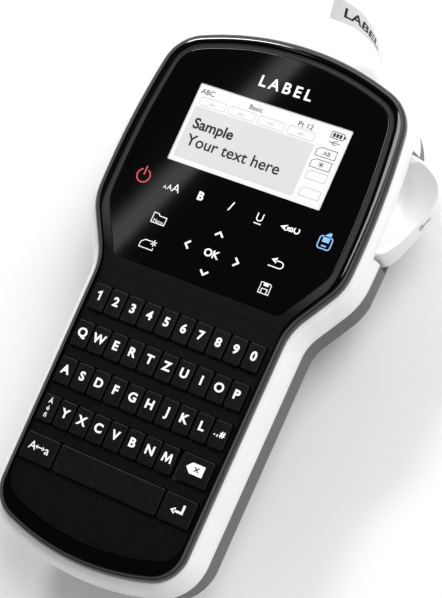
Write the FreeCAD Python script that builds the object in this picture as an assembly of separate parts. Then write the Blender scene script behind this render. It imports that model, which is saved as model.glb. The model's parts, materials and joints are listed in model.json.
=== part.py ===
import FreeCAD, Part
import math
import os

# Handheld electronic label maker. Millimetres.
# +X is the device's right, +Y is its head end, +Z is the way its keys face.
# The origin is the middle of the cassette door's flat back, which is what the head end rests on.
# Y below is counted from half way along the bezel, and save() moves each part to the origin.

V = FreeCAD.Vector
ORIGIN_Y = 60.0

# ---- front outline, measured at the seam between the bezel and the side shell ----
BOTTOM_Y = -96.8
TOP_Y = 98.4
BOTTOM_RADIUS = 86.0
BOTTOM_CORNER = 13.0
GRIP_HALF_WIDTH = 37.3
GRIP_TAPER_DEG = 0.7
WAIST_Y = -4.0
WAIST_RADIUS = 21.0
SHOULDER_SLOPE_DEG = 31.0
SHOULDER_RUN = 12.0
SHOULDER_RADIUS = 21.0
HEAD_SIDE_START_DEG = 2.5
HEAD_SIDE_RADIUS = 300.0
HEAD_CORNER = 16.0
TOP_RADIUS = 104.0
TOP_DROP = 0.95

# ---- levels along Z ----
Z_CROWN = 50.6
Z_SEAM = 46.4
Z_PARTING = 38.0
Z_GRIP_BACK = 17.0
Z_SIDE_FOOT = 31.0
FLARE = 4.7
WALL = 2.3
SHELL_LIP = 1.6
FIT = 0.1

# ---- bezel, plate and lens ----
RIM_WIDTH = 3.6
GRIP_RIM_CUT = 1.3
RIM_ROUND = 3.2
CHIN_LIFT = 3.2
LEDGE_WIDTH = 0.7
RING_WIDTH = 2.2
Z_PLATE_TOP = 49.2
PLATE_THICK = 1.6
Z_LENS_TOP = 49.3
LENS_THICK = 1.5
LENS_BOTTOM_Y = 4.4
LENS_CORNER = 3.5
PLATE_GROOVE_Y = 0.0

# ---- keys ----
KEY_PITCH = 6.7
ROW_PITCH = 14.0
FIRST_ROW_Y = -11.3
KEY_W = 6.0
KEY_H = 9.7
KEY_TOP = 50.5
KEY_FOOT = 46.4
KEY_ROUND = 0.5
KEY_CORNER = 0.7
FLANGE_OVER = 0.6
STEM_R = 1.2
STEM_FOOT = 44.4
SLOT_GAP = 0.35

# ---- electronics ----
Z_PCB = 41.6
PCB_THICK = 1.6
Z_MAT = Z_PCB + PCB_THICK
MAT_THICK = 0.8
DOME_TOP = 45.2
LCD_CENTRE = (0.5, 58.9)
LCD_GLASS = (59.6, 30.4)
LCD_FRAME = (66.0, 34.5)
USB_X = -20.0
USB_TOP_Y = 97.6

# ---- cassette bay, print mechanism and cutter ----
BAY_Y = 32.5
BAY_CEILING = 22.6
BAY_FLOOR_THICK = 1.6
TAPE_X = 23.6
TAPE_THICK = 0.2
TAPE_WIDTH = 12.0
TAPE_Z = 12.2
PLATEN_R = 4.0
PLATEN_XY = (TAPE_X - TAPE_THICK / 2 - FIT - PLATEN_R, 77.0)
GEAR_MODULE = 0.5
PLATEN_TEETH = 30
PINION_TEETH = 14
Z_GEAR = 24.8
GEAR_THICK = 3.0
BLADE_Y = 84.9
BLADE_GAP = 0.9
LEVER_PIVOT = (47.5, 41.0)
LEVER_DISH_R = 40.0
LEVER_DISH_Z = 38.2
LEVER_Z = (28.2, 43.2)

# ---- doors ----
DOOR_THICK = 2.2
DOOR_AXIS = (34.8, 2.0)
DOOR_BARREL_R = 2.0
EAR_REACH = 2.3
EAR_GAP = 1.0
BATTERY_DOOR_HALF = 21.0
BATTERY_DOOR_TOP_Y = 2.0
Z_BATTERY_DOOR = Z_GRIP_BACK + 2.2

ROWS = [
    ["1", "2", "3", "4", "5", "6", "7", "8", "9", "0"],
    ["q", "w", "e", "r", "t", "z", "u", "i", "o", "p"],
    ["a", "s", "d", "f", "g", "h", "j", "k", "l", "symbol"],
    ["accent", "y", "x", "c", "v", "b", "n", "m"],
]


# ---------------------------------------------------------------- outline

def normal(deg):
    return V(math.cos(math.radians(deg)), math.sin(math.radians(deg)), 0)


def circles_meet(c1, r1, c2, r2):
    """Crossing point of two circles, the one further towards +X."""
    d = c2 - c1
    along = (r1 * r1 - r2 * r2 + d.Length ** 2) / (2 * d.Length)
    out = math.sqrt(r1 * r1 - along * along)
    u = V(d).normalize()
    side = V(-u.y, u.x, 0)
    options = [c1 + u * along + side * out, c1 + u * along - side * out]
    return max(options, key=lambda p: p.x)


def angle_of(v):
    return math.degrees(math.atan2(v.y, v.x))


def outline_arcs(chin, wide, flare):
    """Right half of the outline, bottom to top, as (centre, radius, start deg, end deg, sign).
    The angles are those of the outward normal, and sign is -1 on the hollow waist.
    chin lifts the bottom edge, and wide widens the grip and leaves the head as it is.
    flare is how far the shell stands out from the seam here: it lowers the top edge, where
    the shell flares less than at the sides."""
    bottom_y = BOTTOM_Y + chin
    grip = -GRIP_TAPER_DEG
    slope = -SHOULDER_SLOPE_DEG
    waist_start = V(GRIP_HALF_WIDTH + wide, WAIST_Y, 0)
    bottom_centre = V(0, bottom_y + BOTTOM_RADIUS, 0)
    # the corner touches the bottom arc from inside and stands its radius off the grip's side
    side_point = waist_start - normal(grip) * BOTTOM_CORNER
    up = V(-math.sin(math.radians(grip)), math.cos(math.radians(grip)), 0)
    reach = BOTTOM_RADIUS - BOTTOM_CORNER
    to_centre = side_point - bottom_centre
    b = to_centre.dot(up)
    c = to_centre.dot(to_centre) - reach ** 2
    corner_centre = side_point + up * (-b - math.sqrt(b * b - c))
    corner_start = angle_of(corner_centre - bottom_centre)
    waist_centre = waist_start + normal(grip) * WAIST_RADIUS
    waist_end = waist_centre - normal(slope) * WAIST_RADIUS
    run = V(-math.sin(math.radians(slope)), math.cos(math.radians(slope)), 0)
    shortened = wide / math.sin(math.radians(SHOULDER_SLOPE_DEG))
    shoulder_start = waist_end + run * (SHOULDER_RUN - shortened)
    shoulder_centre = shoulder_start - normal(slope) * SHOULDER_RADIUS
    side_deg = -HEAD_SIDE_START_DEG
    side_centre = shoulder_centre - normal(side_deg) * (HEAD_SIDE_RADIUS - SHOULDER_RADIUS)
    top_centre = V(0, TOP_Y - TOP_DROP * flare - TOP_RADIUS, 0)
    head_centre = circles_meet(side_centre, HEAD_SIDE_RADIUS - HEAD_CORNER,
                               top_centre, TOP_RADIUS - HEAD_CORNER)
    head_start = angle_of(head_centre - side_centre)
    head_end = angle_of(head_centre - top_centre)
    return [
        (bottom_centre, BOTTOM_RADIUS, -90.0, corner_start, 1),
        (corner_centre, BOTTOM_CORNER, corner_start, grip, 1),
        (waist_centre, WAIST_RADIUS, grip, slope, -1),
        (shoulder_centre, SHOULDER_RADIUS, slope, side_deg, 1),
        (side_centre, HEAD_SIDE_RADIUS, side_deg, head_start, 1),
        (head_centre, HEAD_CORNER, head_start, head_end, 1),
        (top_centre, TOP_RADIUS, head_end, 90.0, 1),
    ]


def outline_wire(grow, z, chin=0.0, wide=0.0, flare=0.0):
    """The closed outline moved outwards by grow, at height z."""
    def point(arc, deg, mirror):
        centre, radius, _, _, sign = arc
        p = centre + normal(deg) * (sign * (radius + sign * grow))
        return V(-p.x if mirror else p.x, p.y, z)

    arcs = outline_arcs(chin, wide, flare)
    bottom, top = arcs[0], arcs[-1]
    edges = [Part.Arc(point(bottom, bottom[3], True), point(bottom, -90, False),
                      point(bottom, bottom[3], False)).toShape()]

    def side(mirror):
        run = []
        last = point(bottom, bottom[3], mirror)
        for arc in arcs[1:-1]:
            start, end = point(arc, arc[2], mirror), point(arc, arc[3], mirror)
            if (start - last).Length > 1e-6:
                run.append(Part.LineSegment(last, start).toShape())
            run.append(Part.Arc(start, point(arc, (arc[2] + arc[3]) / 2, mirror), end).toShape())
            last = end
        return run

    edges += side(False)
    edges.append(Part.Arc(point(top, top[2], False), point(top, 90, False),
                          point(top, top[2], True)).toShape())
    edges += reversed(side(True))
    return Part.Wire(edges)


def outline_prism(grow, z0, z1, flare=0.0):
    return Part.Face(outline_wire(grow, z0, flare=flare)).extrude(V(0, 0, z1 - z0))


def recess_prism(grow, z0, z1):
    """Prism on the outline of the recess in the bezel, which leaves a narrow rim and a deep chin."""
    wire = outline_wire(grow - RIM_WIDTH, z0, CHIN_LIFT, GRIP_RIM_CUT)
    return Part.Face(wire).extrude(V(0, 0, z1 - z0))


def outline_loft(sections, wall=0.0):
    """Smooth solid through (height, grow) sections of the outline, less a wall."""
    wires = [outline_wire(g - wall, z, flare=max(g, 0.0)) for z, g in sections]
    return Part.makeLoft(wires, True, False)


# ---------------------------------------------------------------- plain solids

def box(x0, x1, y0, y1, z0, z1):
    return Part.makeBox(x1 - x0, y1 - y0, z1 - z0, V(x0, y0, z0))


def rod(x, y, radius, z0, z1):
    return Part.makeCylinder(radius, z1 - z0, V(x, y, z0))


def cross_rod(y, z, radius, x0, x1):
    return Part.makeCylinder(radius, x1 - x0, V(x0, y, z), V(1, 0, 0))


def rounded_block(x0, x1, y0, y1, z0, z1, corner):
    """Block with round upright edges."""
    block = box(x0, x1, y0, y1, z0, z1)
    upright = [e for e in block.Edges if abs(e.Vertexes[0].X - e.Vertexes[1].X) < 1e-6
               and abs(e.Vertexes[0].Y - e.Vertexes[1].Y) < 1e-6]
    return block.makeFillet(corner, upright)


def edges_at(shape, z):
    """Edges that lie wholly in the plane at height z."""
    return [e for e in shape.Edges
            if abs(e.BoundBox.ZMin - z) < 1e-4 and abs(e.BoundBox.ZMax - z) < 1e-4]


def half_space(y0=None, y1=None, z0=-20.0, z1=80.0):
    """Large block that keeps what lies between y0 and y1."""
    return box(-90, 90, -130 if y0 is None else y0, 130 if y1 is None else y1, z0, z1)


def join(*shapes):
    """One solid from several that touch or overlap."""
    return shapes[0].multiFuse(list(shapes[1:])).removeSplitter()


def profile_prism(points, x0, x1):
    """Polygon in the YZ plane, pulled along X."""
    corners = [V(x0, y, z) for y, z in points]
    return Part.Face(Part.makePolygon(corners + corners[:1])).extrude(V(x1 - x0, 0, 0))


def plan_prism(points, z0, z1):
    """Polygon in the XY plane, pulled along Z."""
    corners = [V(x, y, z0) for x, y in points]
    return Part.Face(Part.makePolygon(corners + corners[:1])).extrude(V(0, 0, z1 - z0))


# ---------------------------------------------------------------- key layout

def key_layout():
    """(name, centre x, centre y, width, height) of every key."""
    keys = []
    left = -4.5 * KEY_PITCH
    for r, names in enumerate(ROWS):
        y = FIRST_ROW_Y - r * ROW_PITCH
        for c, name in enumerate(names):
            keys.append((name, left + c * KEY_PITCH, y, KEY_W, KEY_H))
    right_edge = 4.5 * KEY_PITCH + KEY_W / 2
    wide = 2 * KEY_PITCH - 1.6
    y4 = FIRST_ROW_Y - 3 * ROW_PITCH
    keys.append(("backspace", right_edge - wide / 2, y4, wide, KEY_H))
    y5 = FIRST_ROW_Y - 4 * ROW_PITCH
    caps_w = 12.8
    gap = KEY_PITCH - KEY_W
    keys.append(("caps", -right_edge + caps_w / 2, y5, caps_w, KEY_H))
    keys.append(("enter", right_edge - wide / 2, y5, wide, KEY_H))
    space_left = -right_edge + caps_w + gap
    space_right = right_edge - wide - gap
    keys.append(("space", (space_left + space_right) / 2, y5, space_right - space_left, KEY_H))
    return keys


def stems_of(key):
    """Plunger centres under one key: one, or three under the space bar."""
    _, x, y, w, _ = key
    if w > 20:
        return [(x - w / 3, y), (x, y), (x + w / 3, y)]
    return [(x, y)]


def row_slots():
    """(x0, x1, y0, y1) of each slot in the keypad plate."""
    slots = []
    for y in sorted({k[2] for k in key_layout()}):
        row = [k for k in key_layout() if k[2] == y]
        x0 = min(k[1] - k[3] / 2 for k in row) - SLOT_GAP
        x1 = max(k[1] + k[3] / 2 for k in row) + SLOT_GAP
        slots.append((x0, x1, y - KEY_H / 2 - SLOT_GAP, y + KEY_H / 2 + SLOT_GAP))
    return slots


def make_key(key):
    _, x, y, w, h = key
    cap = rounded_block(x - w / 2, x + w / 2, y - h / 2, y + h / 2, KEY_FOOT, KEY_TOP, KEY_CORNER)
    cap = cap.makeFillet(KEY_ROUND, edges_at(cap, KEY_TOP))
    flange_top = Z_PLATE_TOP - PLATE_THICK - FIT
    flange = box(x - w / 2 + KEY_CORNER, x + w / 2 - KEY_CORNER,
                 y - h / 2 - SLOT_GAP - FLANGE_OVER, y + h / 2 + SLOT_GAP + FLANGE_OVER,
                 KEY_FOOT, flange_top)
    stems = [rod(sx, sy, STEM_R, STEM_FOOT, KEY_FOOT) for sx, sy in stems_of(key)]
    return join(cap, flange, *stems)


# ---------------------------------------------------------------- front pieces

def make_front_bezel():
    """Glossy rim: rounded outside, with a ledge inside that the keypad plate sits on."""
    body = outline_prism(0, Z_SEAM, Z_CROWN)
    body = body.makeFillet(RIM_ROUND, edges_at(body, Z_CROWN))
    pocket = recess_prism(0, Z_PLATE_TOP - PLATE_THICK, Z_CROWN + 1)
    through = recess_prism(-LEDGE_WIDTH, Z_SEAM - 5, Z_CROWN)
    skirt = outline_prism(-SHELL_LIP - FIT, Z_SEAM - 1.4, Z_SEAM)
    body = join(body, skirt).cut(pocket).cut(through)
    return body


def lens_outline_prism(grow, z0, z1):
    """Lens shape: the outline inside the ring, cut straight across under the buttons."""
    inner = outline_prism(-RIM_WIDTH - RING_WIDTH + grow, z0, z1)
    lens = inner.common(half_space(y0=LENS_BOTTOM_Y - grow))
    corners = [e for e in lens.Edges if abs(e.Vertexes[0].Y - (LENS_BOTTOM_Y - grow)) < 1e-3
               and abs(e.BoundBox.ZMax - e.BoundBox.ZMin - (z1 - z0)) < 1e-3
               and e.BoundBox.XLength < 1e-3]
    return lens.makeFillet(LENS_CORNER + grow, corners)


def make_keypad_plate():
    """Matt plate: slots for the key rows, and a ring that frames the lens."""
    z0 = Z_PLATE_TOP - PLATE_THICK
    lens_floor = Z_LENS_TOP - LENS_THICK
    plate = recess_prism(-FIT, z0, Z_PLATE_TOP)
    plate = plate.makeFillet(0.3, edges_at(plate, Z_PLATE_TOP))
    seat = recess_prism(-LEDGE_WIDTH - FIT, z0 - 0.6, z0).common(half_space(y0=1.6))
    plate = join(plate, seat)
    plate = plate.cut(lens_outline_prism(FIT, lens_floor, Z_PLATE_TOP + 1))
    plate = plate.cut(lens_outline_prism(-1.5, z0 - 2, Z_PLATE_TOP))
    slots = [rounded_block(x0, x1, y0, y1, z0 - 1, Z_PLATE_TOP + 1, KEY_CORNER + SLOT_GAP)
             for x0, x1, y0, y1 in row_slots()]
    groove = box(-60, 60, PLATE_GROOVE_Y - 0.2, PLATE_GROOVE_Y + 0.2, Z_PLATE_TOP - 0.4,
                 Z_PLATE_TOP + 1)
    return plate.cut(slots + [groove])


def make_display_lens():
    lens = lens_outline_prism(0, Z_LENS_TOP - LENS_THICK, Z_LENS_TOP)
    return lens.makeFillet(0.35, edges_at(lens, Z_LENS_TOP))


def function_buttons():
    """Centres of the sealed buttons printed on the lens."""
    top_row = [(x, 34.7) for x in (-35.0, -23.0, -11.5, 0.0, 11.5, 23.0, 35.5)]
    sides = [(x, y) for x in (-22.5, 23.5) for y in (21.8, 12.2)]
    pad = [(0.8, 17.0), (-8.8, 17.0), (10.4, 17.0), (0.8, 24.3), (0.8, 9.8)]
    return top_row + sides + pad


def make_keypad_mat():
    """Silicone mat: a dome round each key plunger and a post under each lens button."""
    sheet = recess_prism(-3.4, Z_MAT, Z_MAT + MAT_THICK).common(half_space(y1=40.8))
    stems = [p for key in key_layout() for p in stems_of(key)]
    domes = [rod(x, y, 2.4, Z_MAT, DOME_TOP) for x, y in stems]
    holes = [rod(x, y, STEM_R + 0.4, Z_MAT - 1, DOME_TOP + 1) for x, y in stems]
    lens_foot = Z_LENS_TOP - LENS_THICK
    posts = [rod(x, y, 1.6, Z_MAT, lens_foot - 0.2) for x, y in function_buttons()]
    return join(sheet, *domes, *posts).cut(holes)


def make_circuit_board():
    """Board with the display module on its front, and chips and the USB socket on its back."""
    board = recess_prism(-3.9, Z_PCB, Z_MAT)
    cx, cy = LCD_CENTRE
    fw, fh = LCD_FRAME
    gw, gh = LCD_GLASS
    frame = box(cx - fw / 2, cx + fw / 2, cy - fh / 2, cy + fh / 2, Z_MAT, 47.0)
    window = box(cx - gw / 2, cx + gw / 2, cy - gh / 2, cy + gh / 2, 45.6, 48)
    glass = box(cx - gw / 2 + 0.1, cx + gw / 2 - 0.1, cy - gh / 2 + 0.1, cy + gh / 2 - 0.1,
                45.6, 46.9)
    chips = [box(-8, 6, -20, -6, Z_PCB - 1.6, Z_PCB), box(-24, -14, 10, 17, Z_PCB - 1.2, Z_PCB),
             box(12, 20, 6, 16, Z_PCB - 1.4, Z_PCB), rod(26, 24, 4.0, Z_PCB - 3.0, Z_PCB)]
    sx, top = USB_X, USB_TOP_Y
    socket = box(sx - 3.9, sx + 3.9, top - 9.0, top, Z_PCB - 3.0, Z_PCB)
    mouth = box(sx - 3.3, sx + 3.3, top - 6.0, top + 1, Z_PCB - 2.5, Z_PCB - 0.5)
    return Part.makeCompound([board, frame.cut(window), glass, *chips, socket.cut(mouth)])


# ---------------------------------------------------------------- shells

SIDE_FLARE = [(Z_SEAM, 0.15), (45.7, 1.2), (44.4, 2.5), (42.6, 3.6), (40.4, 4.4), (Z_PARTING, FLARE)]
SIDE_HOLLOW = [(Z_PARTING - 0.1, FLARE - WALL, FLARE), (41.5, 1.6, 3.0), (44.6, -0.2, 1.2),
               (Z_SEAM + 0.1, -SHELL_LIP, 0.0)]
GRIP_SECTIONS = [(Z_SIDE_FOOT, FLARE), (27.5, 4.7), (24.6, 4.4), (22.0, 3.2), (19.8, 0.8),
                 (18.2, -2.6), (17.3, -6.0), (Z_GRIP_BACK, -9.5)]
GRIP_HOLLOW = [(20.9, -5.5), (21.8, -1.5), (24.6, 1.8)]
HEAD_SECTIONS = [(Z_SIDE_FOOT, FLARE), (29.5, 4.7), (26.0, 4.4), (21.0, 3.1), (15.0, 0.8),
                 (8.0, -2.0), (3.0, -4.4), (1.0, -5.6), (0.0, -7.6)]
HUMP_Y = 24.0
HEAD_ROOM_FLARE = 2.0


def hump_profile():
    """Block that keeps the head end's share of the back, down the slope of the hump."""
    ramp = [(HUMP_Y, 60), (HUMP_Y, Z_GRIP_BACK + 1.0), (HUMP_Y + 0.8, 15.0), (28.6, 4.2),
            (29.6, 1.6), (30.9, 0.4), (32.0, 0.0), (32.0, -5)]
    return profile_prism(ramp + [(130, -5), (130, 60)], -90, 90)


def lever_opening():
    """Room in both shells for the cutter lever and its swing."""
    return box(45.0, 80, 35.5, 75.8, LEVER_Z[0] - 0.4, LEVER_Z[1] + 0.4)


def make_side_shell():
    """Pale band that flares out from the bezel to the parting line."""
    outer = outline_loft(SIDE_FLARE)
    inner = Part.makeLoft([outline_wire(grow, z, flare=flare) for z, grow, flare in SIDE_HOLLOW],
                          True, True)
    shell = outer.cut(inner)
    tongue = outline_prism(FLARE - WALL, Z_PARTING - 1.6, Z_PARTING + 0.6, FLARE)
    tongue = tongue.cut(outline_prism(FLARE - WALL - 1.3, Z_PARTING - 2, Z_PARTING + 1, FLARE))
    shell = join(shell, tongue)
    port = rounded_port(0.5)
    return shell.cut([lever_opening(), port])


def rounded_port(grow):
    """Mouth for a USB plug through the head end of the side shell."""
    half, z0, z1 = 4.2 + grow - 0.5, Z_PCB - 3.4, Z_PCB + 0.2
    slot = box(USB_X - half, USB_X + half, USB_TOP_Y - 4, USB_TOP_Y + 12, z0, z1)
    corners = [e for e in slot.Edges if e.BoundBox.YLength > 10]
    return slot.makeFillet(0.9, corners)


def rear_outer():
    """Outside of the back: upright sides, a round-backed grip and a deep head."""
    sides = outline_prism(FLARE, Z_SIDE_FOOT, Z_PARTING, FLARE)
    grip = outline_loft(GRIP_SECTIONS).common(half_space(y1=HUMP_Y))
    head = outline_loft(HEAD_SECTIONS).common(hump_profile())
    return sides, grip, head


def bay_cavity():
    """Inside of the hump, open at the back: the cassette bay."""
    inner = [(z, g) for z, g in HEAD_SECTIONS if z < BAY_CEILING]
    inner = [(BAY_CEILING, inner[0][1])] + inner
    inner[-1] = (-0.5, inner[-1][1])
    loft = outline_loft(inner, WALL)
    return loft.common(half_space(y0=BAY_Y))


SCREWS = [(-27.0, -72.0, Z_GRIP_BACK), (27.0, -72.0, Z_GRIP_BACK),
          (-29.0, 14.0, Z_GRIP_BACK), (29.0, 14.0, Z_GRIP_BACK)]


def make_rear_shell():
    sides, grip, head = rear_outer()
    body = join(sides, grip, head)
    ceiling = BAY_CEILING + BAY_FLOOR_THICK
    rim = outline_prism(FLARE - WALL + FIT, Z_PARTING - 1.8, Z_PARTING + 1, FLARE)
    upper = outline_prism(FLARE - WALL - 1.5, 34.6, Z_PARTING + 1, FLARE)
    head_room = outline_prism(0.4, ceiling, 36.0, HEAD_ROOM_FLARE)
    head_room = head_room.common(half_space(y0=BAY_Y - 3))
    battery_bay = box(-20.4, 20.4, -70.4, -3.6, Z_GRIP_BACK - 1, 33.0)
    door_cut = battery_door_block(0.15)
    body = body.cut([rim, upper, head_room, bay_cavity(), battery_bay, door_cut, *grip_hollow()])
    body = body.cut([door_zone(EAR_REACH, 0.2), tape_slot(), lever_opening(), leg_slot()])
    bosses = [rod(x, y, 3.4, Z_GRIP_BACK + 0.5, 37.0) for x, y, _ in SCREWS]
    bosses.append(rod(*LEVER_PIVOT, 3.2, BAY_CEILING, LEVER_Z[0]))
    body = join(body, *bosses, *hinge_ears())
    holes = [rod(x, y, 2.7, z - 1, z + 2.4) for x, y, z in SCREWS]
    holes += [rod(x, y, 1.3, z - 1, 38) for x, y, z in SCREWS]
    pin_y, pin_z = DOOR_AXIS
    holes.append(cross_rod(pin_y, pin_z, 1.05, -43.6, 43.6))
    holes.append(rod(*PLATEN_XY, 1.3, 20, 26))
    holes.append(rod(*LEVER_PIVOT, 1.2, 20, 30))
    return body.cut(holes)


def grip_hollow():
    """Space round the battery bay, stepped to follow the rounded back."""
    bay_block = box(-22.2, 22.2, -72.2, -1.8, 0, 50)
    steps = [outline_prism(g, z, 34.7).common(half_space(y1=30.9)) for z, g in GRIP_HOLLOW]
    return [step.cut(bay_block) for step in steps]


def leg_slot():
    """Slot in the bay's ceiling that the lever's leg reaches down through."""
    return box(29.6, 38.4, 81.8, 86.6, 18.0, 30.0)


def tape_slot():
    """Slit in the head end that the finished label leaves by."""
    return box(TAPE_X - 3.2, TAPE_X + 1.4, 85, 110, TAPE_Z - 6.8, TAPE_Z + 6.8)


def hinge_ears():
    """Cheeks each side of the cassette door's barrel."""
    y = DOOR_AXIS[0]
    shape = outline_loft(HEAD_SECTIONS).common(hump_profile())
    return [box(x0, x1, 30.5, y + EAR_REACH, 0, 6).common(shape)
            for x0, x1 in ((-46, -41.8), (41.8, 46))]


# ---------------------------------------------------------------- doors and battery

def door_zone(ear_edge, grow):
    """Slab at the back of the hump that the cassette door takes up, less the hinge ears,
    which end at ear_edge past the hinge's axis."""
    limit = DOOR_AXIS[0] + ear_edge
    slab = half_space(y0=BAY_Y, z0=-2, z1=DOOR_THICK + grow)
    ears = [box(x0, x1, 20, limit, -3, 8) for x0, x1 in ((-60, -41.6 - grow), (41.6 + grow, 60))]
    return slab.cut(ears)


def make_cassette_door():
    y, z = DOOR_AXIS
    shape = outline_loft(HEAD_SECTIONS).common(hump_profile())
    plate = shape.common(door_zone(EAR_REACH + EAR_GAP, 0.0)).common(half_space(y0=y))
    barrel = cross_rod(y, z, DOOR_BARREL_R, -41.4, 41.4)
    stubs = cross_rod(y, z, 1.0, -43.2, 43.2)
    latch = box(-7, 7, 85.4, 86.8, DOOR_THICK - 0.2, 6.0)
    nose = profile_prism([(86.6, 4.2), (87.5, 4.9), (86.6, 6.0)], -7, 7)
    door = join(plate, barrel, stubs, latch, nose)
    ridges = [box(-16, 16, 78 + 1.8 * i, 78.8 + 1.8 * i, -1, 0.5) for i in range(4)]
    return door.cut(ridges)


def battery_door_block(grow):
    """Dovetail slab at the back of the grip that the battery door slides along."""
    lo, hi = BATTERY_DOOR_HALF + grow, BATTERY_DOOR_HALF + 1.6 + grow
    z0, z1 = Z_GRIP_BACK - 3, Z_BATTERY_DOOR + grow
    section = [V(-lo, -130, z0), V(lo, -130, z0), V(lo, -130, Z_GRIP_BACK), V(hi, -130, z1),
               V(-hi, -130, z1), V(-lo, -130, Z_GRIP_BACK)]
    face = Part.Face(Part.makePolygon(section + section[:1]))
    return face.extrude(V(0, 130 + BATTERY_DOOR_TOP_Y + grow, 0))


def make_battery_door():
    shape = outline_loft(GRIP_SECTIONS)
    door = shape.common(battery_door_block(0.0))
    ridges = [box(-12, 12, -12 - 2.2 * i, -11 - 2.2 * i, Z_GRIP_BACK - 1, Z_GRIP_BACK + 0.5)
              for i in range(5)]
    return door.cut(ridges)


def make_battery_pack():
    pack = rounded_block(-19.8, 19.8, -69.6, -4.4, Z_BATTERY_DOOR + 0.5, 32.4, 2.0)
    contacts = [box(x - 1.5, x + 1.5, -4.6, -4.0, 24, 28) for x in (-8, 0, 8)]
    return join(pack, *contacts)


# ---------------------------------------------------------------- print mechanism

def involute_gear(teeth, z0, z1, turn_deg, backlash=0.16):
    """Spur gear centred on the origin. turn_deg turns it so that its teeth meet its partner's."""
    pitch_r = GEAR_MODULE * teeth / 2
    base_r = pitch_r * math.cos(math.radians(20))
    tip_r = pitch_r + GEAR_MODULE * 0.95
    root_r = pitch_r - GEAR_MODULE * 1.3
    roll_pitch = math.tan(math.radians(20)) - math.radians(20)
    half_tooth = math.pi / (2 * teeth) - backlash / (2 * pitch_r)
    points = []
    for t in range(teeth):
        middle = 2 * math.pi * t / teeth + math.radians(turn_deg)
        flank = []
        for k in range(5):
            r = max(base_r, root_r) + (tip_r - max(base_r, root_r)) * k / 4
            a = math.acos(min(1.0, base_r / r))
            flank.append((r, half_tooth + roll_pitch - (math.tan(a) - a)))
        root_half = flank[0][1]
        run = [(root_r, -root_half)] + [(r, -w) for r, w in flank]
        run += [(r, w) for r, w in reversed(flank)] + [(root_r, root_half)]
        points += [V(r * math.cos(middle + w), r * math.sin(middle + w), z0) for r, w in run]
    return Part.Face(Part.makePolygon(points + points[:1])).extrude(V(0, 0, z1 - z0))


MOTOR_XY = (PLATEN_XY[0] - GEAR_MODULE * (PLATEN_TEETH + PINION_TEETH) / 2, PLATEN_XY[1])


def make_platen_roller():
    """Shaft, rubber sleeve and gear that turn together and feed the tape."""
    x, y = PLATEN_XY
    shaft = rod(0, 0, 1.25, 5.0, 31.0)
    sleeve = rod(0, 0, PLATEN_R, TAPE_Z - 6.6, TAPE_Z + 6.6).cut(rod(0, 0, 1.25, 0, 40))
    gear = involute_gear(PLATEN_TEETH, Z_GEAR, Z_GEAR + GEAR_THICK, 180.0)
    gear = gear.cut(rod(0, 0, 1.25, 0, 40))
    group = Part.makeCompound([shaft, sleeve, gear])
    group.translate(V(x, y, 0))
    return group


def make_drive_pinion():
    """Motor's shaft and pinion, in mesh with the platen's gear."""
    gap_turn = 180.0 / PINION_TEETH
    pinion = involute_gear(PINION_TEETH, Z_GEAR, Z_GEAR + GEAR_THICK, gap_turn)
    shaft = rod(0, 0, 0.75, Z_GEAR, 33.0)
    group = join(pinion, shaft)
    group.translate(V(*MOTOR_XY, 0))
    return group


def make_print_mechanism():
    """Chassis plate on posts, motor can, print head with its heat sink, and the cutter's anvil."""
    px, py = PLATEN_XY
    mx, my = MOTOR_XY
    z_plate = Z_GEAR + GEAR_THICK + 0.6
    chassis = rounded_block(mx - 11, px + 10, py - 11, py + 9.5, z_plate, z_plate + 1.2, 2.0)
    feet = [rod(x, y, 1.8, BAY_CEILING + BAY_FLOOR_THICK, z_plate)
            for x, y in ((mx - 8.5, py - 8.5), (px + 7.6, py - 8.5 - 1.0), (mx - 8.5, py + 7))]
    chassis = join(chassis, *feet)
    chassis = chassis.cut([rod(px, py, 1.35, 20, 40), rod(mx, my, 2.2, 20, 40)])
    motor = join(rod(mx, my, 8.0, z_plate + 1.2, z_plate + 10.6),
                 rod(mx, my, 3.0, z_plate + 10.6, z_plate + 11.4))
    motor = motor.cut(rod(mx, my, 0.85, 20, 33.4))
    head_x = TAPE_X + TAPE_THICK / 2 + FIT
    ceramic = box(head_x, head_x + 1.0, py - 4.5, py + 4.5, TAPE_Z - 6.6, TAPE_Z + 6.6)
    sink = box(head_x + 1.0, head_x + 2.6, py - 5.5, py + 5.0, 4.4, BAY_CEILING)
    fins = [box(head_x + 2.6, head_x + 5.2, py - 5 + 2.4 * i, py - 4 + 2.4 * i, 6, 20)
            for i in range(4)]
    anvil = box(TAPE_X - 3.0, TAPE_X - 0.9, BLADE_Y - 2.2, BLADE_Y + 2.2, 5.0, BAY_CEILING)
    return Part.makeCompound([chassis, motor, ceramic, join(sink, *fins), anvil])


# ---------------------------------------------------------------- cutter

BLADE_REST_X = TAPE_X + 4.0
CARRIAGE_END = 35.0
LEG_X = 35.4


def make_cutter_blade():
    """Blade clamped in the carriage that the lever's leg pushes across the tape."""
    edge = [V(BLADE_REST_X, BLADE_Y + 0.2, 5.4), V(BLADE_REST_X + 1.2, BLADE_Y - 0.25, 5.4),
            V(BLADE_REST_X + 1.2, BLADE_Y + 0.25, 5.4)]
    tip = Part.Face(Part.makePolygon(edge + edge[:1])).extrude(V(0, 0, 13.8))
    sheet = box(BLADE_REST_X + 1.2, 32.6, BLADE_Y - 0.25, BLADE_Y + 0.25, 5.4, 19.2)
    carriage = box(31.0, CARRIAGE_END, BLADE_Y - 1.8, BLADE_Y + 1.0, 9.0, 16.4)
    return join(tip, sheet, carriage)


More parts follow.
